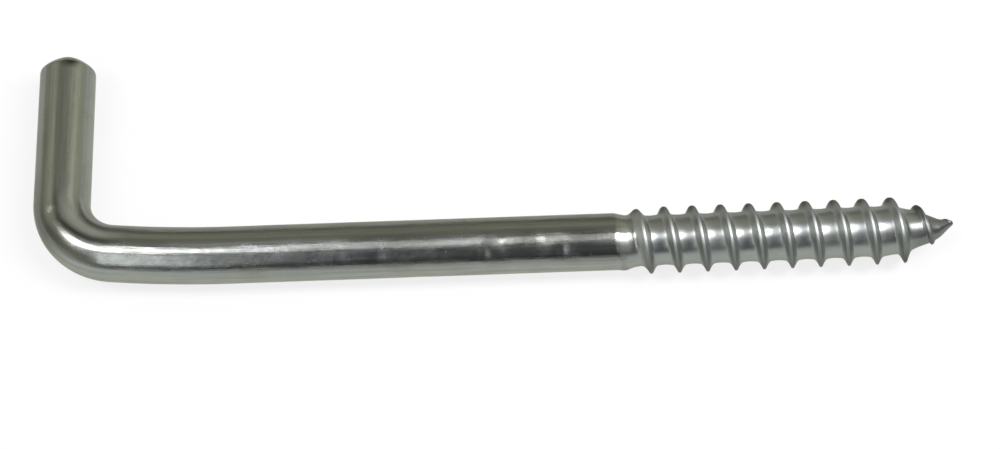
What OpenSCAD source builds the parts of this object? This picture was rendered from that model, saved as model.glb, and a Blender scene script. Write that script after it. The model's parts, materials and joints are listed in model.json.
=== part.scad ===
// A square-bend screw hook, bent from one piece of round wire.
// It lies on its side: the shank runs along X to the point at +X, and the arm runs along +Y.
// The whole hook lies in one level plane, with its lowest thread crest at Z = 0.

/* [Wire] */
// Diameter of the round wire
wire_d = 5.35; // [5:0.05:6]
// Radius of the tight bend, to the middle of the wire
bend_r = 5.4; // [4:0.1:9]
// Angle of the tight bend; the bow turns the rest of the right angle
bend_angle = 84; // [78:0.5:88]
// How much thinner the wire is where the tight bend stretches it
bend_thinning = 0.04; // [0.02:0.01:0.2]
// Radius of the gentle bow between the tight bend and the straight shank
bow_r = 108; // [60:1:200]
/* [Arm] */
// Distance from the shank's axis to the tip of the arm
arm_reach = 22.15; // [16:0.05:45]
// Length over which the arm's end rounds down to its tip
arm_end_h = 1.95; // [0.8:0.05:3]
// Fullness of the arm's end: 1 is a straight cone and 2 is a round dome
arm_end_fullness = 1.25; // [1:0.05:2]
// Diameter of the small flat on the arm's tip
arm_flat_d = 0.4; // [0.2:0.1:3]
/* [Shank] */
// Length of plain wire, from the arm's axis to the thread's shoulder
plain_length = 51.7; // [40:0.1:90]
// Length of the shoulder, where the wire drops to the thread's root
shoulder_h = 1.2; // [0.8:0.1:2]
/* [Thread] */
// Length from the thread's shoulder to the tip of the point
thread_length = 31.9; // [22:0.1:60]
// Distance from one turn to the next
pitch = 2.65; // [2.3:0.01:3.2]
// Diameter over the thread's crests
major_d = 6.25; // [6.05:0.05:6.8]
// Diameter at the thread's root
root_d = 4.65; // [4.2:0.05:4.9]
// Width of the crest's narrow top
crest_w = 0.22; // [0.15:0.01:0.4]
// Slope of the crest's sides, from square to the axis
flank_angle = 27; // [20:1:35]
// Width of the rounded hollow that each side of the crest ends in
hollow_w = 0.45; // [0.3:0.05:0.5]
// Turns over which the crest rises out of the shoulder
runout_turns = 1.3; // [0.8:0.1:2]
// Angle round the axis at which the crest passes the shoulder, from +Y towards +Z
start_angle = 105; // [0:7.5:352.5]
// How far the rolled thread bends off the shank's axis by its tip, towards the arm's side
thread_rise = 0.2; // [0:0.05:0.4]
/* [Point] */
// Length over which the root narrows to the tip
point_h = 6.6; // [5.5:0.1:9]
// Angle between the axis and the line over the crests of the point
point_angle = 32; // [26:1:38]
// Diameter of the blunted tip
tip_d = 0.34; // [0.16:0.02:0.4]
// Length of the tip that is bent aside
tip_bend_h = 1.6; // [1:0.1:4]
// How far that bend carries the tip off the axis, towards the arm's side
tip_lean = 0.5; // [0:0.05:0.6]

/* [Hidden] */
wire_r = wire_d / 2;
major_r = major_d / 2;
root_r = root_d / 2;
tip_r = tip_d / 2;
bow_angle = 90 - bend_angle;
bend_wire_r = wire_r - bend_thinning / 2;
bend_overlap = 1.5;

// Steps round the wire, round a full bend and along the arm's end
wire_steps = 64;
bend_steps = 360;
end_steps = 7;

// Places along the axes: the arm's axis is at X = 0 and the shank's axis at Y = 0
tip_x = plain_length + thread_length;
bend_y = bow_r * (1 - cos(bow_angle)) + bend_r * cos(bow_angle);
bow_x = bend_r * (1 - sin(bow_angle)) + bow_r * sin(bow_angle);
arm_straight = arm_reach - arm_end_h - bend_y;

// The thread is a strip that winds round the axis, with this many steps to a turn
turn_steps = 48;
strip_x = plain_length - pitch / 2;
strip_steps = floor((tip_x - pitch / 2 - strip_x) / pitch * turn_steps);
strip_angle = start_angle - 180;
shoulder_step = 0.05;
root_taper = 1.6;
// Shares of the crest's height at which the hollow starts and at its middle
hollow_rise = 0.2;
hollow_middle = 0.06;

function clamp(v, low, high) = max(low, min(high, v));

// Root radius at x: straight, then a rounded taper to the blunt tip
function root_at(x) =
    let (t = clamp((x - tip_x + point_h) / point_h, 0, 1))
    tip_r + (root_r - tip_r) * (1 - pow(t, root_taper));

// Crest radius at x: it rises out of the shoulder and follows the point's cone to the tip
function crest_at(x) =
    let (
        rise = sin(90 * clamp((x - plain_length) / (runout_turns * pitch), 0, 1)),
        full = root_r + (major_r - root_r) * rise,
        cone = tip_r + max(0, tip_x - x) * tan(point_angle)
    )
    max(root_at(x), min(full, cone));

// How far the axis lies to the arm's side at x: the thread bends a little and its tip more
function lean_at(x) =
    let (t = clamp((x - tip_x + tip_bend_h) / tip_bend_h, 0, 1))
    thread_rise * pow(clamp((x - plain_length) / thread_length, 0, 1), 2)
    + tip_lean * t * t * (3 - 2 * t);

// One section of the crest, as pairs of an offset along the axis and a share of the crest's height.
// It starts halfway between two turns, and the next turn's section starts where this one ends.
function section(height) =
    let (
        top = crest_w / 2,
        side = top + height * (1 - hollow_rise) * tan(flank_angle),
        inner = side + hollow_w / 3,
        foot = side + hollow_w
    )
    [
        [-pitch / 2, 0],
        [-foot, 0],
        [-inner, hollow_middle],
        [-side, hollow_rise],
        [-top, 1],
        [top, 1],
        [side, hollow_rise],
        [inner, hollow_middle],
        [foot, 0]
    ];
section_points = len(section(0));
strip_points = (strip_steps + 1) * section_points;

// Point at a place along the axis, a radius and an angle
function ring_point(x, r, angle) = [x, r * cos(angle) + lean_at(x), r * sin(angle)];

// Place of a section's middle along the axis
function strip_middle(step) = strip_x + step * pitch / turn_steps;

function crest_height(step) = crest_at(strip_middle(step)) - root_at(strip_middle(step));

function strip_point(step, offset, share) =
    let (x = strip_middle(step) + offset)
    ring_point(x, root_at(x) + share * crest_height(step), strip_angle + step * 360 / turn_steps);

// Number of a strip point. The one past the end of a section is the first of the next turn's,
// and past the last turn it is a point of the free edge.
function strip_number(step, k) =
    k < section_points ? step * section_points + k
    : step + turn_steps <= strip_steps ? (step + turn_steps) * section_points
    : strip_points + step + turn_steps - strip_steps - 1;

module thread() {
    crest_points = [
        for (step = [0:strip_steps], pair = section(crest_height(step)))
            strip_point(step, pair[0], pair[1])
    ];
    edge_points = [
        for (step = [strip_steps + 1:strip_steps + turn_steps])
            strip_point(step, -pitch / 2, 0)
    ];
    end_points = [[strip_x, 0, 0], [tip_x, lean_at(tip_x), 0]];
    back = strip_points + turn_steps;
    tip = back + 1;
    sides = [
        for (step = [0:strip_steps - 1], k = [0:section_points - 1])
            let (
                a = strip_number(step, k),
                b = strip_number(step, k + 1),
                c = strip_number(step + 1, k + 1),
                d = strip_number(step + 1, k)
            )
            each [[a, b, c], [a, c, d]]
    ];
    back_rim = [
        for (step = [0:turn_steps - 1])
            [back, strip_number(step, 0), strip_number(step + 1, 0)]
    ];
    back_wall = [
        for (k = [0:section_points - 1])
            [back, strip_number(0, k + 1), strip_number(0, k)]
    ];
    tip_rim = [
        for (step = [strip_steps - turn_steps:strip_steps - 1])
            [tip, strip_number(step + 1, section_points), strip_number(step, section_points)]
    ];
    tip_wall = [
        for (k = [0:section_points - 1])
            [tip, strip_number(strip_steps, k), strip_number(strip_steps, k + 1)]
    ];
    polyhedron(
        points = concat(crest_points, edge_points, end_points),
        faces = concat(sides, back_rim, back_wall, tip_rim, tip_wall)
    );
}

// Part of a ring of wire, which starts at angle 0 and turns anticlockwise
module wire_arc(radius, angle, r) {
    rotate_extrude(angle = angle, $fn = bend_steps)
        translate([radius, 0])
            circle(r = r, $fn = wire_steps);
}

// The tight bend; its thinner wire reaches a little way into the arm and into the bow
module bend() {
    translate([bend_r, bend_y, 0])
        rotate([0, 0, 180 - bend_overlap])
            wire_arc(bend_r, bend_angle + 2 * bend_overlap, bend_wire_r);
}

// The bow, from the shank's straight part back to the tight bend
module bow() {
    translate([bow_x, bow_r, 0])
        mirror([1, 0, 0])
            rotate([0, 0, -90])
                wire_arc(bow_r, bow_angle, wire_r);
}

// Outline of the arm's end, from the full wire to the small flat
function end_outline() = [
    for (i = [1:end_steps])
        let (
            t = i / end_steps,
            round = pow(1 - pow(t, arm_end_fullness), 1 / arm_end_fullness)
        )
        [arm_flat_d / 2 + (wire_r - arm_flat_d / 2) * round, arm_end_h * t]
];

module arm() {
    translate([0, bend_y, 0])
        rotate([-90, 0, 0]) {
            cylinder(r = wire_r, h = arm_straight, $fn = wire_steps);
            translate([0, 0, arm_straight])
                rotate_extrude($fn = wire_steps)
                    polygon(concat([[0, 0], [wire_r, 0]], end_outline(), [[0, arm_end_h]]));
        }
}

module shank() {
    translate([bow_x, 0, 0])
        rotate([0, 90, 0]) {
            cylinder(r = wire_r, h = plain_length - bow_x, $fn = wire_steps);
            translate([0, 0, plain_length - bow_x])
                cylinder(r1 = wire_r, r2 = root_r + shoulder_step, h = shoulder_h, $fn = wire_steps);
        }
}

module screw_hook() {
    color([0.72, 0.73, 0.7])
        translate([-(tip_x - wire_r) / 2, -(arm_reach - major_r) / 2, major_r]) {
            arm();
            bend();
            bow();
            shank();
            thread();
        }
}

screw_hook();
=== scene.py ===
# %% [markdown]
# # A square-bend screw hook in bright zinc
#
# The real hook is one length of drawn steel wire. A machine crops it, rolls a wood thread on one
# end between two flat dies, bends the other end square, and the batch is then plated with zinc.
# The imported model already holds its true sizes. This notebook gives it the finer skin and the
# finish of the real thing, so the first step is to load that model and to keep its box.

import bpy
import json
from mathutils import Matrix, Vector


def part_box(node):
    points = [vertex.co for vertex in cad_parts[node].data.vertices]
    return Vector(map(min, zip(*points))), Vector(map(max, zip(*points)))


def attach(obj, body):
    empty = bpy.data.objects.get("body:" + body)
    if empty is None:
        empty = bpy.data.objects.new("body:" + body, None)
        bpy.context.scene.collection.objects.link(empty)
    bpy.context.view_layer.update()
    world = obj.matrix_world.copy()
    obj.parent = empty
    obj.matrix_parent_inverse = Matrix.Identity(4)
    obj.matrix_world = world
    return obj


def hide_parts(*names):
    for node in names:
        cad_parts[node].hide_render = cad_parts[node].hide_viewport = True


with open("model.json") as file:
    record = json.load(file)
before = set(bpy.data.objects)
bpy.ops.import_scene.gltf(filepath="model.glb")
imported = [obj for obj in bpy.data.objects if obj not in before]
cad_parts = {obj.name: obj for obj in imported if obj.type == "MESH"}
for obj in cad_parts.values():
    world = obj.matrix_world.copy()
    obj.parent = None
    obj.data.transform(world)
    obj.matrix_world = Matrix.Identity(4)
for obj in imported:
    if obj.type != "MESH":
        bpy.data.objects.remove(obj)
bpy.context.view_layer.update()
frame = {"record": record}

# %% [markdown]
# ## Sizes, in millimetres
#
# A hook this small is easier to think about in millimetres, so every size below is in that unit
# and the mesh is turned into metres at the very end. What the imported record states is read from
# it: the arm's mount gives the wire's radius and the two axes, the thread's mount gives the place
# where the plain wire ends, and the node's box gives both tips.

# %% Read the sizes that the record and the box give
import json
import math

import bpy
import numpy as np
from mathutils import Matrix, Vector

MM = 0.001
mounts = {mount["name"]: mount for mount in frame["record"]["mounts"]}
arm_mount = [value / MM for value in mounts["arm"]["pos_m"]]
thread_mount = [value / MM for value in mounts["thread"]["pos_m"]]
hook_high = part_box("screw_hook")[1]

wire_r = mounts["arm"]["dims"]["r_mm"]
arm_x = arm_mount[0]
shank_y = thread_mount[1]
axis_z = arm_mount[2]
plain_length = thread_mount[0] - arm_x
tip_x = hook_high.x / MM - arm_x
arm_reach = hook_high.y / MM - shank_y
major_r = axis_z
print(f"wire {2 * wire_r:.2f}, plain {plain_length:.1f}, point {tip_x:.1f}, arm {arm_reach:.2f}")

# %% Sizes of the bends, the cropped end, the thread and the point
bend_r = 5.4
bend_angle = math.radians(84)
bow_r = 108
bow_angle = math.radians(90) - bend_angle
bend_y = bow_r * (1 - math.cos(bow_angle)) + bend_r * math.cos(bow_angle)
bow_x = bend_r * (1 - math.sin(bow_angle)) + bow_r * math.sin(bow_angle)

arm_end_h = 1.95
arm_end_fullness = 1.25
shoulder_h = 1.2
pitch = 2.65
root_r = 2.325
crest_w = 0.22
flank_angle = math.radians(27)
runout_turns = 1.3
start_angle = math.radians(105)
point_h = 6.6
point_angle = math.radians(32)
tip_r = 0.17
thread_rise = 0.2
tip_bend_h = 1.6
tip_lean = 0.5
print(f"the shank is straight from {bow_x:.2f} mm on, and the arm from {bend_y:.2f} mm on")

# %% [markdown]
# ## The line that the wire follows
#
# A bent wire is best thought of as a straight one that is led along a path. The path here has four
# stretches: the arm, the tight bend, the gentle bow that springs back beside it, and the shank
# with its thread. A curve object with a bevel could make the plain part, but not the thread, so a
# function gives the middle and the heading at any length along the wire, and one mesh is swept
# along it from tip to tip. That way plain wire and thread are one skin, as they are in steel.

# %% Lead a straight length round the bends
arm_run = arm_reach - bend_y
bend_run = bend_r * bend_angle
bow_run = bow_r * bow_angle
wire_run = arm_run + bend_run + bow_run + tip_x - bow_x
shank_start = wire_run - tip_x


def wire_place(along):
    """Middle of the wire and its heading, at a length along it from the arm's tip."""
    if along < arm_run:
        return 0.0, arm_reach - along, math.radians(-90)
    along -= arm_run
    if along < bend_run:
        turn = math.pi + along / bend_r
        x = bend_r + bend_r * math.cos(turn)
        y = bend_y + bend_r * math.sin(turn)
        return x, y, turn - 1.5 * math.pi
    along -= bend_run
    if along < bow_run:
        turn = 1.5 * math.pi - bow_angle + along / bow_r
        x = bow_x + bow_r * math.cos(turn)
        y = bow_r + bow_r * math.sin(turn)
        return x, y, turn - 1.5 * math.pi
    return bow_x + along - bow_run, 0.0, 0.0


print(f"the straight wire was {wire_run:.1f} mm long, {bend_run:.1f} mm of it in the tight bend")

# %% [markdown]
# ## Soft corners
#
# Steel that was cropped, rolled and tumbled has no sharp corner, and a corner without a small
# radius looks drawn. Where two outlines meet, a soft minimum or maximum blends them over a short
# range, which is quicker to control than a bevel when the shape is a formula.

# %% Blend two outlines where they cross
def soft_min(a, b, blend):
    """The smaller of two outlines, with their corner rounded over the blend."""
    share = np.clip(0.5 + 0.5 * (b - a) / blend, 0, 1)
    return b + (a - b) * share - blend * share * (1 - share)


def soft_max(a, b, blend):
    """The larger of two outlines, with their corner rounded over the blend."""
    return -soft_min(-a, -b, blend)


print("two outlines that cross at 1 mm, blended over 0.2 mm:", soft_min(1.0, 1.0, 0.2))

# %% [markdown]
# ## The cropped end of the arm
#
# The cropping tool squeezes the wire to a full, rounded cone, which tumbling softens further.
# A power between that of a straight cone and that of a dome gives its outline. A cone made of a
# few rings would show a corner all round, so the outline runs into the wire without one.

# %% Radius of the cropped end
def cropped_radius(along):
    """Radius of the wire at a length from the arm's tip."""
    way = np.clip(1 - along / arm_end_h, 0, 1)
    return wire_r * (1 - way ** arm_end_fullness) ** (1 / arm_end_fullness)


print("radius near the tip:", [round(float(cropped_radius(a)), 2) for a in (0, 0.1, 0.5, 1, 2, 3)])

# %% [markdown]
# ## The rolled thread
#
# Rolling pushes steel out of the root and up into the crest, so the root is thinner than the wire
# and the crest stands above it. The thread could be a screw modifier on a profile, but its crest
# has to rise out of the shoulder and run down to nothing at the point. A height over the wire,
# as a function of the place along the axis and the angle round it, does all of that in one go:
# the distance to the nearest crest gives the height, and the crest moves one pitch for each turn.

# %% Root, crest and lean of the thread along the axis
root_taper = 1.6
cone_corner = 0.15


def root_at(x):
    """Root radius: straight, then a rounded taper to the tip."""
    way = np.clip((x - tip_x + point_h) / point_h, 0, 1)
    return tip_r + (root_r - tip_r) * (1 - way ** root_taper)


def crest_at(x):
    """Crest radius: it rises out of the shoulder and follows the cone of the point."""
    rise = np.sin(0.5 * math.pi * np.clip((x - plain_length) / (runout_turns * pitch), 0, 1))
    full = root_r + (major_r - root_r) * rise
    cone = tip_r + np.maximum(tip_x - x, 0) * math.tan(point_angle)
    return np.maximum(root_at(x), soft_min(full, cone, cone_corner))


def lean_at(x):
    """How far the axis lies to the arm's side: the thread bends a little and its tip more."""
    thread_way = np.clip((x - plain_length) / (tip_x - plain_length), 0, 1)
    tip_way = np.clip((x - tip_x + tip_bend_h) / tip_bend_h, 0, 1)
    return thread_rise * thread_way ** 2 + tip_lean * tip_way ** 2 * (3 - 2 * tip_way)


crest_heights = [round(float(crest_at(x) - root_at(x)), 2) for x in (52, 54, 60, 78, 81)]
print("crest heights along the thread:", crest_heights)

# %% One crest, with its sides and the bowl beside it
bowl_share = 0.3
bowl_corner = 0.42
crest_corner = 0.1
least_height = 0.05
young_slope = 0.9


def crest_share(x, angle, height):
    """Share of the crest's height, from 0 in the root to 1 on the crest."""
    crest_x = plain_length + pitch * (angle - start_angle) / (2 * math.pi)
    away = np.abs((x - crest_x + pitch / 2) % pitch - pitch / 2)
    young = 1 - np.clip((x - plain_length) / (runout_turns * pitch), 0, 1)
    slope = np.maximum(height, least_height) * math.tan(flank_angle) + young_slope * young
    flank = 1 - (away - crest_w / 2) / slope
    bowl = bowl_share * (1 - away / (pitch / 2)) ** 2
    return soft_min(soft_max(flank, bowl, bowl_corner), 1.0, crest_corner)


grown_crest = plain_length + 5 * pitch
crest_section = [
    round(float(crest_share(grown_crest + away, start_angle, major_r - root_r)), 2)
    for away in (0, 0.2, 0.4, 0.8, 1.3)
]
print("share of the crest's height from its middle to the root:", crest_section)

# %% The shoulder where the dies begin, and the whole threaded end
shoulder_step = 0.05
shoulder_late = 1.0
late_side = math.radians(215)
shoulder_top_corner = 0.16
shoulder_foot = 2.0
shoulder_foot_corner = 0.35
seam_corner = 0.34
seam_turns = 3
box_gap = 0.006


def shoulder_radius(x, angle):
    """The plain wire and its slope down past the root, which starts late on the crest's side."""
    late = shoulder_late * np.clip(np.cos(angle - late_side), 0, 1) ** 2
    start = plain_length + shoulder_step + late
    slope = soft_max((x - start) / (shoulder_h - shoulder_step), 0.0, shoulder_top_corner)
    return wire_r + (root_r - wire_r) * soft_min(slope, shoulder_foot, shoulder_foot_corner)


def threaded_radius(x, angle):
    """Radius at a place along the shank's axis, and how far it stands above the root there."""
    height = crest_at(x) - root_at(x)
    share = crest_share(x, angle, height)
    thread = root_at(x) + height * share
    seam = soft_max(shoulder_radius(x, angle), thread, seam_corner)
    outline = np.where(x > plain_length + seam_turns * pitch, thread, seam)
    point = np.clip((tip_x - x) / tip_r, 0, 1)
    blunt = np.sqrt(1 - (1 - point) ** 2)
    return np.minimum(outline, major_r - box_gap) * blunt, share * height


shoulder_places = [plain_length + way for way in (0, 0.5, 1.0, 1.5)]
shoulder_radii = [round(float(shoulder_radius(x, 0.0)), 2) for x in shoulder_places]
print("radius down the shoulder, on the far side:", shoulder_radii)

# %% [markdown]
# ## Small dents
#
# The dies and the tumbling barrel leave shallow dents that the eye only finds where a highlight
# breaks. They are real dips in the mesh, the deepest of 0.13 mm, so they hold from every side.
# Each one is a soft hollow with its own place, length, width and depth.

# %% Dents as soft hollows
# Place from the arm's axis, angle round the wire in degrees, length, width and depth
DENTS = [
    (40.6, 106, 0.8, 1.3, 0.080),
    (45.5, 106, 0.9, 1.3, 0.085),
    (39.45, 138, 0.5, 1.7, 0.085),
    (46.7, 138, 0.5, 1.7, 0.085),
    (29.6, 138, 0.6, 1.4, 0.030),
    (25.8, 130, 0.9, 1.2, 0.024),
    (33.5, 210, 1.1, 1.2, 0.022),
    (24.0, 300, 1.4, 1.3, 0.022),
    (18.5, 250, 1.2, 1.4, 0.024),
    (-1.24, 113, 0.55, 0.55, 0.130),
]


def dent_depth(x, angle):
    """How deep the skin lies below a clean wire."""
    depth = 0
    for place, degrees, length, width, deep in DENTS:
        around = (angle - math.radians(degrees) + math.pi) % (2 * math.pi) - math.pi
        far = ((x - place) / length) ** 2 + (around * wire_r / width) ** 2
        depth = depth + deep * np.exp(-far)
    return depth


print(len(DENTS), "dents, the deepest", max(dent[4] for dent in DENTS), "mm")

# %% [markdown]
# ## Streaks along the wire
#
# A streak is a line at some angle round the wire, with a half width in degrees and a share that
# changes along it. The streaks below carry painted shade and painted highlights on the plate.
# Tables of lengths and values say how it goes, and what lies between them is interpolated.
# A painted texture could do this too, but a table stays readable and follows the steel exactly.

# %% A streak, and a table of them
def fade(value, start, end):
    """0 at the start and 1 at the end, which may lie either way."""
    return np.clip((value - start) / (end - start), 0, 1)


def level(along, table):
    """A value that changes along the wire, from a table of lengths and values."""
    lengths, values = zip(*table)
    return np.interp(along, lengths, values)


def streak(angle, degrees, half_width):
    """1 on a line along the wire, falling to 0 at the half width, both in degrees."""
    away = np.abs((np.degrees(angle) - degrees + 180) % 360 - 180)
    share = np.clip(1 - away / half_width, 0, 1)
    return share * share * (3 - 2 * share)


def streaks(table, along, angle):
    """Adds up streaks, each with a half width, its angles and its shares along the wire."""
    total = 0
    for half_width, degrees, shares in table:
        total = total + level(along, shares) * streak(angle, level(along, degrees), half_width)
    return total


across_streak = [round(float(streak(math.radians(a), 0, 20)), 2) for a in (0, 5, 10, 15)]
print("0, 5, 10 and 15 degrees from the line of a streak of 20:", across_streak)

# %% [markdown]
# ## Where the plate is darkened
#
# Long dark lines down the wire are painted shade: they darken its reflections of the lamps and
# the pale floor. Patches on the highlight's line are painted shade that dims it in places, and
# the cropped face and the point are darker. Each point of the skin gets its own share from the
# angle round the wire and the length along it. The darkest line runs down the top of the arm,
# round the bend and along the shank.

# %% Where the painted shade lines of the plain wire end
# Points round the wire, rings before the thread that belong to it, and the length of the fade
AROUND = 72
early_rings = 3
marks_fade = 1.2
thread_step = pitch / AROUND
thread_zone = shank_start + plain_length - early_rings * thread_step
zone_end = thread_zone + marks_fade
print(f"marks of the plain wire fade from {thread_zone:.2f} to {zone_end:.2f} mm along it")

# %% Painted shade lines, painted shade patches and darker ends
# Each streak: its half width, then its angles and its shares, both by length from the arm's tip.
# The tight bend lies from 16.2 to 24.1 mm, and the bow and the shank come after it.
PAINTED_SHADE_STREAKS = [
    # The darkest painted shade line, just above the highlight, which swerves in the bend
    (12, [(16.1, 93), (18.9, 102), (21.7, 93), (22, 93), (26, 88)],
     [(15.5, 0.32), (19, 0.98), (22, 0.98), (23.2, 1.022), (25.8, 0.453), (26, 0.46),
      (thread_zone, 0.46), (zone_end, 0)]),
    # A second painted shade line on the shank's far side, strongest where the bend ends
    (13, [(0, 57)],
     [(17, 0), (19, 0.3), (20.4, 0.3), (21.6, 0.75), (24.5, 0.75), (28, 0.3),
      (thread_zone, 0.3), (zone_end, 0)]),
    # Painted shade on the outer side of the arm and of the bend
    (54, [(0, 148)], [(6, 0.27), (13, 0.4256), (15, 0.5367), (17.5, 0.62), (19, 0.62), (21.5, 0)]),
    # A painted shade line on the shank's near side
    (22, [(0, 149)], [(28, 0), (50, 0.32), (thread_zone, 0.32), (zone_end, 0)]),
    # Painted shade on the side that becomes the inside of the bend, on into the thread
    (34, [(0, 32)], [(17, 0.19), (19, 0.29), (22, 0.29), (30, 0.59)]),
    # Painted shade beside the cropped face
    (26, [(0, 76)], [(2.1, 1), (2.7, 0)]),
]
# The cropped face and the point are darker
DARKER_ENDS = [(0.6, 0.75), (2, 0), (wire_run - 5.5, 0), (wire_run - 3.5, 0.5)]
# Patches of painted shade that dim the highlight: place from the arm's axis, angle in degrees,
# length, half width in degrees and share
PAINTED_SHADE_PATCHES = [
    (19.5, 107, 2.0, 24, 0.12),
    (23.6, 107, 2.2, 24, 0.22),
    (31.3, 107, 4.6, 26, 0.5),
    (39.9, 106, 0.6, 26, 0.6),
    (43.6, 106, 1.2, 26, 0.5),
    (48.4, 107, 2.1, 26, 0.55),
]


def painted_shade_and_dark_ends(along, angle):
    """Share of painted shade and darker ends, from 0 on clean plate up."""
    total = streaks(PAINTED_SHADE_STREAKS, along, angle) + level(along, DARKER_ENDS)
    for place, degrees, length, half_width, share in PAINTED_SHADE_PATCHES:
        near = np.exp(-((along - shank_start - place) / length) ** 2)
        total = total + share * near * streak(angle, degrees, half_width)
    return np.clip(total, 0, 1)


round_arm = [round(float(painted_shade_and_dark_ends(9.0, math.radians(a))), 2) for a in (0, 40, 70, 99, 156)]
print("dullness round the arm, 9 mm from its tip:", round_arm)

# %% [markdown]
# ## Painted highlights, and painted shade on the crests
#
# A lighter colour in the bend, along one line of the shank and on the crests where the highlight
# runs is painted highlight, and the crests' two sides are darkened with painted shade. These are
# streaks as well. On the thread they only count where the crest stands above the root.

# %% Painted highlight streaks, and painted highlight and shade on the crests
# Half widths, angles and shares as above
# Painted highlight in the bend and along one line of the shank
PAINTED_HIGHLIGHT_STREAKS = [
    (20, [(0, 76)], [(15.5, 0), (19, 0.8), (22.5, 0.8), (26, 0)]),
    (11, [(0, 97)], [(28.5, 0), (32, 0.5), (44, 0.5), (48, 0)]),
]
# Painted highlight on the crests where the highlight runs
PAINTED_HIGHLIGHT_CRESTS = [(26, [(0, 107)], [(0, 1)])]
# Painted shade on the crests' two sides
PAINTED_SHADE_CRESTS = [(50, [(0, 28)], [(0, 0.5)]), (58, [(0, 184)], [(0, 0.6)])]
print(len(PAINTED_HIGHLIGHT_STREAKS), "bright streaks on the wire and", len(PAINTED_HIGHLIGHT_CRESTS), "on the crests")

# %% [markdown]
# ## Rings along the wire
#
# The skin is a stack of rings. Straight plain wire needs few of them, the cropped end and the
# bends need more, and the thread needs the most. There the rings are a 72nd of a pitch apart and
# each ring has 72 points, so the crest steps exactly one ring for each point round the axis. Its
# edge then lies on the mesh's own edges and stays as crisp as a wire drawn along it.

# %% Choose where the rings lie
# Distances between rings, and where one stretch meets the next, in millimetres
arm_step = 0.35
bend_step = 0.17
shank_step = 0.25
crop_gap = 0.25
bend_gap = 0.2
bend_overrun = 0.4
# The rings of both ends lie at the squares of even steps, so they are closest at the tips
crop_far = 1.2
crop_count = 40
tip_far = 0.9
tip_count = 8
crop_rings = arm_end_h * np.linspace(0, crop_far, crop_count) ** 2
plain_rings = np.arange(crop_rings[-1] + crop_gap, arm_run - bend_gap, arm_step)
bend_rings = np.arange(arm_run, arm_run + bend_run + bend_overrun, bend_step)
shank_rings = np.arange(bend_rings[-1] + shank_step, thread_zone, shank_step)
thread_rings = np.arange(thread_zone, wire_run - tip_r, thread_step)
tip_rings = wire_run - tip_r * np.linspace(tip_far, 0, tip_count) ** 2
wire_rings = [crop_rings[1:], plain_rings, bend_rings, shank_rings]
rings = np.concatenate(wire_rings + [thread_rings, tip_rings[:-1]])
print(f"{len(rings)} rings of {AROUND} points, {len(thread_rings)} of them in the thread")

# %% [markdown]
# ## Sweep the skin
#
# Every ring stands square to the path: its points go along the direction to the path's left and
# the upward one. The thread's own small lean moves its rings to the left. Each point also keeps
# where it lay on the straight wire, so that drawing lines follow the bend.

# %% Place the points of every ring
angles = np.arange(AROUND) * 2 * math.pi / AROUND
along, angle = np.meshgrid(rings, angles, indexing="ij")
x_along = along - shank_start
thread_r, crest_height = threaded_radius(x_along, angle)
in_thread = along > thread_zone
dents = dent_depth(x_along, angle) * (1 - in_thread)
radius = np.where(in_thread, thread_r, cropped_radius(along)) - dents
middles = np.array([wire_place(a) for a in rings])
heading = middles[:, 2:3]
left = radius * np.cos(angle) + lean_at(x_along)
up = radius * np.sin(angle)
skin_x = middles[:, 0:1] - np.sin(heading) * left
skin_y = middles[:, 1:2] + np.cos(heading) * left
points = np.stack([skin_x + arm_x, skin_y + shank_y, up + axis_z], axis=-1).reshape(-1, 3)
straight = np.stack([along, radius * np.cos(angle), up], axis=-1).reshape(-1, 3)
lowest = points[:, 2].min()
highest = points[:, 2].max()
print(f"{len(points)} points, lowest {lowest:.3f} mm, highest {highest:.3f} mm")


# %% Join the rings into one closed mesh
def tip_point(place):
    """The last point of the wire at either end."""
    x, y, _ = wire_place(place)
    return [x + arm_x, y + shank_y + lean_at(place - shank_start), axis_z]


def ring_faces(count):
    """Triangles between the rings, split along the way that the thread winds."""
    low = np.arange(count - 1)[:, None] * AROUND
    here = np.arange(AROUND)[None, :]
    after = (here + 1) % AROUND
    a = (low + here).ravel()
    b = (low + after).ravel()
    c = b + AROUND
    d = a + AROUND
    return np.concatenate([np.stack([a, c, b], 1), np.stack([a, d, c], 1)])


def cap_faces(centre, first, flip):
    """A fan that closes one end."""
    middle = np.full(AROUND, centre)
    here = np.arange(AROUND) + first
    after = (np.arange(AROUND) + 1) % AROUND + first
    return np.stack([middle, after, here] if flip else [middle, here, after], 1)


arm_tip = len(points)
screw_tip = arm_tip + 1
all_points = np.concatenate([points, [tip_point(0), tip_point(wire_run)]]) * MM
all_faces = np.concatenate([
    ring_faces(len(rings)),
    cap_faces(arm_tip, 0, False),
    cap_faces(screw_tip, (len(rings) - 1) * AROUND, True),
])
skin = bpy.data.meshes.new("hook_skin")
skin.from_pydata(all_points.tolist(), [], all_faces.tolist())
skin.validate()
skin.shade_smooth()
print(f"{len(skin.polygons)} triangles in the skin")

# %% [markdown]
# ## Facts for the finish
#
# A material can read values that the mesh keeps for each point. They move with the steel, so a
# finish that is built on them looks the same from every side. The crest's height is one of them,
# because crests and roots are rougher than the plain wire. Two others carry painted shade and
# painted highlight.

# %% Keep the facts that the finish needs
# How far above the root a crest starts to count, and where it counts in full, in millimetres
crest_shade_rise = (0.25, 0.55)
crest_highlight_rise = (0.1, 0.35)
# How dark the last point at either end is
tip_darkness = [1, 0.3]
on_crest = crest_height * in_thread
# Painted shade on the crests' two sides
crest_painted_shade = fade(on_crest, *crest_shade_rise) * streaks(PAINTED_SHADE_CRESTS, along, angle)
# Painted highlight on the crests where the highlight runs
crest_painted_highlight = fade(on_crest, *crest_highlight_rise) * streaks(PAINTED_HIGHLIGHT_CRESTS, along, angle)
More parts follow.
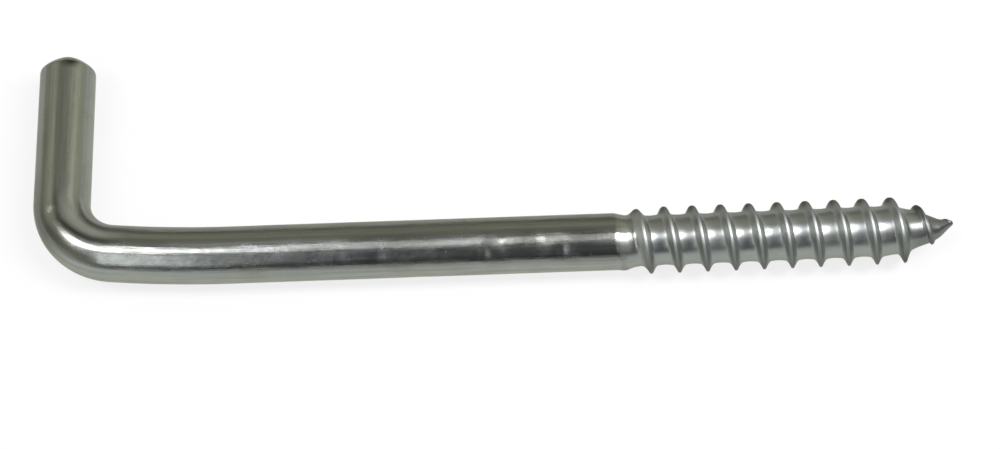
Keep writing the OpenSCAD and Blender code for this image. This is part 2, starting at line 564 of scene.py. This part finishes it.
# Painted shade, the darker ends and the crests' painted shade in one share
darkening_with_painted_shade = np.clip(painted_shade_and_dark_ends(along, angle) + crest_painted_shade, 0, 1)
# All the painted highlight, on the crests and on the wire
painted_highlight = crest_painted_highlight + streaks(PAINTED_HIGHLIGHT_STREAKS, along, angle)
threaded = np.clip((x_along - plain_length) / pitch, 0, 1)


def keep_fact(mesh, name, kind, values):
    """Stores one value for each point of the mesh."""
    fact = mesh.attributes.new(name, kind, "POINT")
    field = "vector" if kind == "FLOAT_VECTOR" else "value"
    fact.data.foreach_set(field, np.ascontiguousarray(values, dtype=np.float32).ravel())


ends = [[0, 0, 0], [wire_run, 0, 0]]
keep_fact(skin, "straight_wire", "FLOAT_VECTOR", np.concatenate([straight, ends]))
keep_fact(skin, "crest_height", "FLOAT", np.append(on_crest, [0, 0]))
keep_fact(skin, "in_thread", "FLOAT", np.append(threaded, [0, 1]))
# Painted shade and the darker ends
keep_fact(skin, "painted_shade_and_dark_ends", "FLOAT", np.append(darkening_with_painted_shade, tip_darkness))
# Painted highlight
keep_fact(skin, "painted_highlight", "FLOAT", np.append(painted_highlight, [0, 0]))
hook = bpy.data.objects.new("hook_skin", skin)
bpy.context.scene.collection.objects.link(hook)
print("kept", [fact.name for fact in skin.attributes if not fact.name.startswith(".")])

# %% [markdown]
# ## Writing a material as formulas
#
# A material is a graph of nodes, but its sums are easier to read as formulas. The small class
# below wraps one socket, so that `1 - mask` or `height * 0.5` adds the Math node itself. All
# other nodes come from one method that takes the node's type, its settings and its values.

# %% A socket that can do sums
class Signal:
    """One value in a node tree."""

    def __init__(self, sheet, socket):
        self.sheet = sheet
        self.socket = socket

    def maths(self, operation, *values):
        """The result of one Math node."""
        return self.sheet.add("ShaderNodeMath", {"operation": operation}, dict(enumerate(values)))

    def __add__(self, other):
        return self.maths("ADD", self, other)

    def __radd__(self, other):
        return self.maths("ADD", other, self)

    def __sub__(self, other):
        return self.maths("SUBTRACT", self, other)

    def __rsub__(self, other):
        return self.maths("SUBTRACT", other, self)

    def __mul__(self, other):
        return self.maths("MULTIPLY", self, other)

    def __rmul__(self, other):
        return self.maths("MULTIPLY", other, self)

    def between(self, low, high):
        """0 below the low value, 1 above the high one and smooth in between."""
        settings = {"interpolation_type": "SMOOTHSTEP"}
        values = {"Value": self, "From Min": low, "From Max": high}
        return self.sheet.add("ShaderNodeMapRange", settings, values)


print("a formula such as 1 - mask now adds its own Math node")


# %% A sheet that the nodes are written on
class Sheet:
    """A node tree that is written from top to bottom."""

    def __init__(self, tree):
        self.tree = tree
        tree.nodes.clear()

    def add(self, kind, settings, values, output=0):
        """One node: its settings come first, then the values or links of its sockets."""
        node = self.tree.nodes.new(kind)
        for name, setting in settings.items():
            setattr(node, name, setting)
        for name, value in values.items():
            if isinstance(value, Signal):
                self.tree.links.new(value.socket, node.inputs[name])
            else:
                node.inputs[name].default_value = value
        return Signal(self, node.outputs[output]) if len(node.outputs) else node

    def fact(self, name, output):
        """A fact that the mesh keeps for each point."""
        return self.add("ShaderNodeAttribute", {"attribute_name": name}, {}, output)

    def stretched(self, vector, factors):
        """A vector with each of its parts multiplied."""
        return self.add("ShaderNodeVectorMath", {"operation": "MULTIPLY"}, {0: vector, 1: factors})

    def noise(self, vector, scale, detail, roughness=0.5):
        """Soft noise between 0 and 1."""
        values = {"Vector": vector, "Scale": scale, "Detail": detail, "Roughness": roughness}
        return self.add("ShaderNodeTexNoise", {}, values)

    def mix(self, share, first, second):
        """A colour between two others."""
        return self.add("ShaderNodeMix", {"data_type": "RGBA"}, {0: share, 6: first, 7: second}, 2)

    def bump(self, height, distance, normal=None):
        """The normal of a surface with small heights on it, as far as the distance in mm."""
        values = {"Height": height, "Distance": distance * MM, "Strength": 1.0}
        if normal:
            values["Normal"] = normal
        return self.add("ShaderNodeBump", {}, values)


def new_sheet(name):
    """An empty material and its sheet."""
    material = bpy.data.materials.new(name)
    material.use_nodes = True
    return material, Sheet(material.node_tree)


print("a sheet adds facts, noise, mixed colours and bumps")

# %% [markdown]
# ## Bright zinc on drawn wire
#
# Zinc plate is a metal skin a few microns thick. It copies the steel under it, so the long fine
# lines of wire drawing show through, and it is a little hazy where the bath left it thicker. The
# colour is a grey with a touch of olive, as clear passivated zinc has. One metallic shader with
# noise in its colour, roughness and bump is the honest way: there is no clear layer over it. Its
# colour also carries the painted shade and painted highlights that the mesh keeps.

# %% Colours of the plate, and how far each one goes
PLATE = (0.305, 0.328, 0.287, 1)
PLATE_HAZE = (0.275, 0.295, 0.25, 1)
PLATE_BLUE = (0.30, 0.322, 0.315, 1)
PLATE_THREAD = (0.28, 0.308, 0.296, 1)
# The darkest colour, for the dark drawing lines, the darker ends and painted shade
PLATE_DARK_AND_PAINTED_SHADE = (0.065, 0.07, 0.06, 1)
# A light colour for painted highlights
PLATE_PAINTED_HIGHLIGHT = (0.72, 0.75, 0.73, 1)
PLATE_EDGE = (0.71, 0.71, 0.63, 1)
haze_share = 0.7
blue_share = 0.5
thread_share = 0.5
dark_line_share = 0.23
painted_highlight_share = 0.6
print("the plate is", PLATE[:3], "where it is clean and", PLATE_DARK_AND_PAINTED_SHADE[:3], "where it is dullest")


# %% Marks of the drawing, the tumbling and the bath
# How fine each mark is along the wire and across it, then the noise's scale, detail and
# roughness, and the range of the noise that counts, if not all of it does
MARKS = {
    "haze": (1, 1, 0.45, 4, 0.5, (0.42, 0.66)),
    "tint": (0.35, 1, 0.6, 2, 0.5, (0.45, 0.7)),
    "lines": (0.05, 2.4, 2.2, 4, 0.6, None),
    "fine lines": (0.12, 7, 2.4, 2, 0.5, None),
    "dark lines": (0.035, 1.3, 2.2, 3, 0.6, (0.4, 0.68)),
    "grain": (1, 1, 16, 3, 0.6, None),
    "waves": (0.4, 1, 0.8, 1, 0.5, None),
    "knocks": (0.6, 1, 1.5, 2, 0.5, None),
    "nicks": (1, 1.6, 2.6, 1, 0.5, (0.74, 0.82)),
}


def plate_marks(sheet):
    """Noise on the straight wire, so that every mark follows the bends."""
    straight_wire = sheet.fact("straight_wire", 1)
    marks = {}
    for name, (lengthwise, across, scale, detail, roughness, span) in MARKS.items():
        place = sheet.stretched(straight_wire, (lengthwise, across, across))
        mark = sheet.noise(place, scale, detail, roughness)
        marks[name] = mark.between(*span) if span else mark
    return marks


print(len(MARKS), "marks:", ", ".join(MARKS))


# %% The plate's colour
def plate_colour(sheet, marks, threaded, darkening_with_painted_shade, painted_highlight):
    """Clean plate, hazed and tinted, darkened partly by painted shade, then painted highlights."""
    dark = (1 - darkening_with_painted_shade) * marks["dark lines"] * (1 - threaded) * dark_line_share
    colour = sheet.mix(marks["haze"] * haze_share, PLATE, PLATE_HAZE)
    colour = sheet.mix(marks["tint"] * blue_share, colour, PLATE_BLUE)
    colour = sheet.mix(threaded * thread_share, colour, PLATE_THREAD)
    # Dark drawing lines, darker ends and painted shade
    colour = sheet.mix(darkening_with_painted_shade + dark, colour, PLATE_DARK_AND_PAINTED_SHADE)
    # Painted highlights
    return sheet.mix(painted_highlight * painted_highlight_share, colour, PLATE_PAINTED_HIGHLIGHT)


print("five layers of colour lie over the clean plate")

# %% The plate's roughness
smooth_plate = 0.22
ROUGHER = {"haze": 0.06, "nicks": 0.08, "lines": 0.1, "grain": 0.03, "root": 0.1, "crest": 0.3}
# Heights over the root, in millimetres, between which the root ends and the crest begins
root_ends = (0.05, 0.3)
crest_begins = (0.08, 0.25)


def plate_roughness(marks, threaded, crest):
    """Smooth plate, rougher in haze, on nicks, in the thread's roots and most on its crests."""
    roughness = smooth_plate + marks["haze"] * ROUGHER["haze"] + marks["nicks"] * ROUGHER["nicks"]
    for name in ("lines", "grain"):
        roughness = roughness + (marks[name] - 0.5) * ROUGHER[name]
    rooted = threaded * (1 - crest.between(*root_ends))
    return roughness + rooted * ROUGHER["root"] + crest.between(*crest_begins) * ROUGHER["crest"]


print(f"roughness {smooth_plate} on clean plate, up to {ROUGHER['crest']} more on the crests")


# %% The plate's bumps
# Height of each mark in millimetres, and the marks that end where the thread is rolled
BUMPS = {
    "waves": 0.03,
    "knocks": 0.016,
    "lines": 0.012,
    "fine lines": 0.003,
    "nicks": 0.005,
    "grain": 0.0006,
}
PLAIN_WIRE_ONLY = ("knocks", "lines", "fine lines")


def plate_normal(sheet, marks, threaded):
    """Bumps laid one over the other; the nicks are the only ones that go down."""
    plain = 1 - threaded
    normal = None
    for name, height in BUMPS.items():
        mark = marks[name]
        if name in PLAIN_WIRE_ONLY:
            mark = mark * plain
        if name == "nicks":
            mark = 1 - mark
        normal = sheet.bump(mark, height, normal)
    return normal


print("bumps in millimetres:", BUMPS)


# %% Put the plate on the skin
def zinc_plate():
    """The finish of the whole hook."""
    material, sheet = new_sheet("zinc_plate")
    marks = plate_marks(sheet)
    crest = sheet.fact("crest_height", 2)
    threaded = sheet.fact("in_thread", 2)
    # Painted shade and the darker ends
    darkening_with_painted_shade = sheet.fact("painted_shade_and_dark_ends", 2)
    painted_highlight = sheet.fact("painted_highlight", 2)
    values = {
        "Base Color": plate_colour(sheet, marks, threaded, darkening_with_painted_shade, painted_highlight),
        "Metallic": 1.0,
        "Roughness": plate_roughness(marks, threaded, crest),
        "Specular Tint": PLATE_EDGE,
        "Normal": plate_normal(sheet, marks, threaded),
    }
    shader = sheet.add("ShaderNodeBsdfPrincipled", {}, values)
    sheet.add("ShaderNodeOutputMaterial", {}, {"Surface": shader})
    return material


skin.materials.append(zinc_plate())
print("the plate has", len(skin.materials[0].node_tree.nodes), "nodes")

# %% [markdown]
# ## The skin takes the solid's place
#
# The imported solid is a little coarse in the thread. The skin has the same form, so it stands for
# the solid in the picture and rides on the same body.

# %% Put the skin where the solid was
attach(hook, "root")
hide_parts("screw_hook")
print("the skin rides on root and replaces screw_hook")

# %% [markdown]
# ## A pale floor
#
# The hook lies on its side on a plain pale sheet. Part of the sheet's white comes from a soft
# glow that only camera, mirror and glass rays see. The rest is plain paint under the lamps, so
# the hook's shadow stays on it, and bright metal reflects the same white that the camera sees.

# %% Lay the floor
FLOOR_PAINT = (0.7, 0.7, 0.7, 1)
FLOOR_GLOW = (1.0, 1.0, 1.0, 1)
floor_glow_share = 0.8
floor_half = 2.5
speckle_scale = 900
speckle_height = 0.004


def pale_paint():
    """The floor's finish."""
    material, sheet = new_sheet("pale_paint")
    camera_ray = sheet.add("ShaderNodeLightPath", {}, {}, "Is Camera Ray")
    glossy_ray = sheet.add("ShaderNodeLightPath", {}, {}, "Is Glossy Ray")
    glass_ray = sheet.add("ShaderNodeLightPath", {}, {}, "Is Transmission Ray")
    mirrored = glossy_ray.maths("MAXIMUM", glossy_ray, glass_ray)
    seen = camera_ray.maths("MAXIMUM", camera_ray, mirrored)
    place = sheet.add("ShaderNodeTexCoord", {}, {}, "Object")
    normal = sheet.bump(sheet.noise(place, speckle_scale, 2), speckle_height)
    values = {"Color": FLOOR_PAINT, "Roughness": 0.0, "Normal": normal}
    paint = sheet.add("ShaderNodeBsdfDiffuse", {}, values)
    glow = sheet.add("ShaderNodeEmission", {}, {"Color": FLOOR_GLOW, "Strength": 1.0})
    both = sheet.add("ShaderNodeMixShader", {}, {0: seen * floor_glow_share, 1: paint, 2: glow})
    sheet.add("ShaderNodeOutputMaterial", {}, {"Surface": both})
    return material


corners = [(-1, -1), (1, -1), (1, 1), (-1, 1)]
floor_corners = [(x * floor_half, y * floor_half, 0) for x, y in corners]
floor_mesh = bpy.data.meshes.new("pale_floor")
floor_mesh.from_pydata(floor_corners, [], [(0, 1, 2, 3)])
floor_mesh.materials.append(pale_paint())
floor = bpy.data.objects.new("pale_floor", floor_mesh)
bpy.context.scene.collection.objects.link(floor)
print("the floor is", 2 * floor_half, "m wide, at the height of the lowest crest")

# %% [markdown]
# ## Soft studio light
#
# Polished wire is a mirror, so it shows the lamps more than its own colour. A bright soft box
# hangs high on the left and a tall, cooler one leans below it, like a window with a lamp over it.
# Together they draw the long highlight, which fades along the shank as it turns away from them.
# A narrow strip almost overhead lights the shank's middle, and a box high on the right, which the
# camera finds only in sloping metal, fills the thread's roots. Three weak boxes lift the dark
# sides.

# %% Hang the lamps
# Each lamp's place and its two sizes in metres, its radiance and its colour
LAMPS = {
    "high_left": ((-0.270, -0.086, 0.528), (0.40, 0.15), 8.9, (1.0, 0.96, 1.04)),
    "high_right": ((0.320, -0.052, 0.503), (0.40, 0.17), 16.0, (1.0, 0.96, 1.06)),
    "window_left": ((-0.200, -0.427, 0.371), (0.15, 0.46), 2.4, (0.96, 0.96, 1.06)),
    "window_right": ((0.361, -0.339, 0.339), (0.42, 0.5), 0.5, (1.0, 0.97, 0.97)),
    "overhead_strip": ((0.004, -0.092, 0.594), (0.045, 0.31), 3.0, (1.0, 0.96, 1.0)),
    "back_right": ((0.438, 0.300, 0.278), (0.52, 0.56), 0.4, (1.0, 0.97, 0.82)),
    "back_left": ((-0.482, 0.270, 0.232), (0.48, 0.5), 0.24, (1.0, 0.97, 0.82)),
}


def soft_box(name, place, size, radiance, colour):
    """A rectangular lamp that faces the hook, with its brightness as radiance."""
    lamp = bpy.data.lights.new(name, "AREA")
    lamp.shape = "RECTANGLE"
    lamp.size = size[0]
    lamp.size_y = size[1]
    lamp.energy = radiance * math.pi * size[0] * size[1]
    lamp.color = colour
    box = bpy.data.objects.new(name, lamp)
    box.location = place
    outwards = Vector(place).normalized()
    lengthwise = (Vector((1, 0, 0)) - outwards * outwards.x).normalized()
    axes = Matrix((lengthwise, outwards.cross(lengthwise), outwards))
    box.rotation_euler = axes.transposed().to_euler()
    bpy.context.scene.collection.objects.link(box)


for name, settings in LAMPS.items():
    soft_box(name, *settings)


# %% Dim the room round them
ROOM_FRONT = (0.07, 0.07, 0.085, 1)
ROOM_LEFT = (0.35, 0.34, 0.29, 1)
ROOM_BACK = (0.47, 0.45, 0.39, 1)
ROOM_BACK_LOW = (0.27, 0.26, 0.23, 1)
# Share of a ray's direction that points to a wall where the wall begins, and where it is full
left_wall = (0.3, 0.55)
back_wall = (0.1, 0.45)
back_wall_top = (0.2, 0.6)


def studio_room(world):
    """A room with dim walls behind and to the left, and almost dark in front of the hook."""
    world.use_nodes = True
    sheet = Sheet(world.node_tree)
    direction = sheet.add("ShaderNodeTexCoord", {}, {}, "Generated")
    width, depth, height = [
        sheet.add("ShaderNodeSeparateXYZ", {}, {"Vector": direction}, axis) for axis in "XYZ"
    ]
    front = sheet.mix((0 - width).between(*left_wall), ROOM_FRONT, ROOM_LEFT)
    back = sheet.mix(height.between(*back_wall_top), ROOM_BACK_LOW, ROOM_BACK)
    dim = sheet.mix(depth.between(*back_wall), front, back)
    light = sheet.add("ShaderNodeBackground", {}, {"Color": dim, "Strength": 1.0})
    sheet.add("ShaderNodeOutputWorld", {}, {"Surface": light})


room = bpy.data.worlds.new("studio_room")
bpy.context.scene.world = room
studio_room(room)
bpy.context.scene.view_settings.view_transform = "Standard"
print("the room has dim walls behind and to the left, and is almost dark in front of the hook")

# %% [markdown]
# ## The camera
#
# The picture that this hook is made after was taken from above, about 62 degrees up, from quite
# near. A near camera makes the far end of the arm smaller, so its distance and its lens both
# matter. The camera is placed by its angles and distance from a point near the shank's middle.

# %% Place the camera
view_azimuth = math.radians(-2.26)
view_elevation = math.radians(62.16)
view_distance = 236.3
view_target = Vector((arm_x + 41.12, shank_y + 2.23, axis_z))
view_lens = 90.7

back = Vector((
    math.sin(view_azimuth) * math.cos(view_elevation),
    -math.cos(view_azimuth) * math.cos(view_elevation),
    math.sin(view_elevation),
))
eye = bpy.data.cameras.new("camera")
eye.lens = view_lens
eye.sensor_width = 36
eye.clip_start = 0.01
camera = bpy.data.objects.new("camera", eye)
camera.location = (view_target + back * view_distance) * MM
camera.rotation_euler = (-back).to_track_quat("-Z", "Y").to_euler()
bpy.context.scene.collection.objects.link(camera)
bpy.context.scene.camera = camera
print("the camera stands", round(view_distance), "mm away at", list(camera.location))

# %% [markdown]
# ## Finish
#
# The last cell brings the scene up to date.

# %% Bring the scene up to date
bpy.context.view_layer.update()
